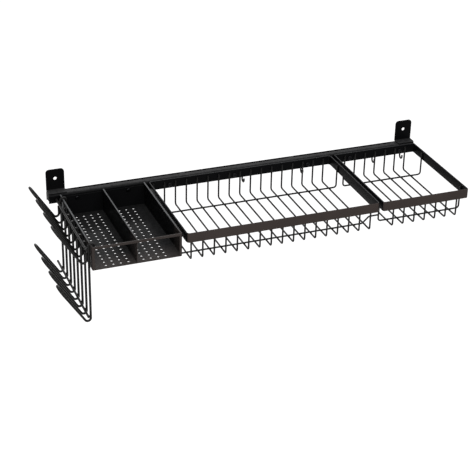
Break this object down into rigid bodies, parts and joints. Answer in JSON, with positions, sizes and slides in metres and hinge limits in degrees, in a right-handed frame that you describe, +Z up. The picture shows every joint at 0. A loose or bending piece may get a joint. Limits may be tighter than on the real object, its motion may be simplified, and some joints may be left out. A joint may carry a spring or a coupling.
{
  "type": "wall dish rack",
  "caption": "Wall-mounted steel dish rack: slotted beam with cutlery box, wire plate rack, fruit basket, hanging mug rack and sliding hooks.",
  "frame": {"origin": "midway between the two wall screw holes, on the wall's surface", "axes": "+X along the beam from the cutlery box towards the fruit basket, +Y into the wall, +Z up"},
  "size_m": [0.7271, 0.2215, 0.179],
  "materials": {
    "sheet_coat": "satin black powder coat",
    "wire_coat": "satin black powder coat",
    "mug_wire_coat": "satin black powder coat",
    "hook_coat": "satin black powder coat",
    "fastener_black": "black zinc plate"
  },
  "bodies": {
    "rack": {"wall_bracket_left": "sheet_coat", "wall_bracket_right": "sheet_coat", "rear_beam": "sheet_coat", "hook_rail_tabs": "sheet_coat", "cutlery_box": "sheet_coat", "cutlery_divider": "sheet_coat", "plate_rack_rim": "sheet_coat", "fruit_basket_rim": "sheet_coat", "hook_rail": "wire_coat", "plate_rack_front_runner": "wire_coat", "plate_rack_rear_runner": "wire_coat", "fruit_basket_front_runner": "wire_coat", "fruit_basket_rear_runner": "wire_coat", "plate_wire_01": "wire_coat", "plate_wire_02": "wire_coat", "plate_wire_03": "wire_coat", "plate_wire_04": "wire_coat", "plate_wire_05": "wire_coat", "plate_wire_06": "wire_coat", "plate_wire_07": "wire_coat", "plate_wire_08": "wire_coat", "plate_wire_09": "wire_coat", "plate_wire_10": "wire_coat", "plate_wire_11": "wire_coat", "plate_wire_12": "wire_coat", "plate_wire_13": "wire_coat", "plate_wire_14": "wire_coat", "plate_wire_15": "wire_coat", "plate_wire_16": "wire_coat", "plate_wire_17": "wire_coat", "fruit_wire_1": "wire_coat", "fruit_wire_2": "wire_coat", "fruit_wire_3": "wire_coat", "fruit_wire_4": "wire_coat", "fruit_wire_5": "wire_coat", "fruit_wire_6": "wire_coat", "fruit_wire_7": "wire_coat", "module_screws": "fastener_black", "module_nuts": "fastener_black"},
    "mug_rack": {"mug_rack_top_rail": "mug_wire_coat", "mug_rack_low_rail": "mug_wire_coat", "mug_holder_lower_1": "mug_wire_coat", "mug_holder_lower_2": "mug_wire_coat", "mug_holder_lower_3": "mug_wire_coat", "mug_holder_lower_4": "mug_wire_coat", "mug_holder_upper_1": "mug_wire_coat", "mug_holder_upper_2": "mug_wire_coat", "mug_holder_upper_3": "mug_wire_coat", "mug_holder_upper_4": "mug_wire_coat"},
    "hook_1": {"s_hook_1": "hook_coat"},
    "hook_2": {"s_hook_2": "hook_coat"},
    "hook_3": {"s_hook_3": "hook_coat"},
    "hook_4": {"s_hook_4": "hook_coat"},
    "hook_5": {"s_hook_5": "hook_coat"},
    "hook_6": {"s_hook_6": "hook_coat"}
  },
  "joints": [
    {"name": "mug_rack_lift", "type": "slide", "parent": "rack", "child": "mug_rack", "axis": [0, 0, 1], "range_m": [0, 0.03]},
    {"name": "hook_1_slide", "type": "slide", "parent": "rack", "child": "hook_1", "axis": [1, 0, 0], "range_m": [-0.158, 0.0765]},
    {"name": "hook_2_slide", "type": "slide", "parent": "rack", "child": "hook_2", "axis": [1, 0, 0], "range_m": [-0.11, 0.0895]},
    {"name": "hook_3_slide", "type": "slide", "parent": "rack", "child": "hook_3", "axis": [1, 0, 0], "range_m": [-0.018, 0.032]},
    {"name": "hook_4_slide", "type": "slide", "parent": "rack", "child": "hook_4", "axis": [1, 0, 0], "range_m": [-0.032, 0.035]},
    {"name": "hook_5_slide", "type": "slide", "parent": "rack", "child": "hook_5", "axis": [1, 0, 0], "range_m": [-0.035, 0.026]},
    {"name": "hook_6_slide", "type": "slide", "parent": "rack", "child": "hook_6", "axis": [1, 0, 0], "range_m": [-0.026, 0.017]}
  ]
}
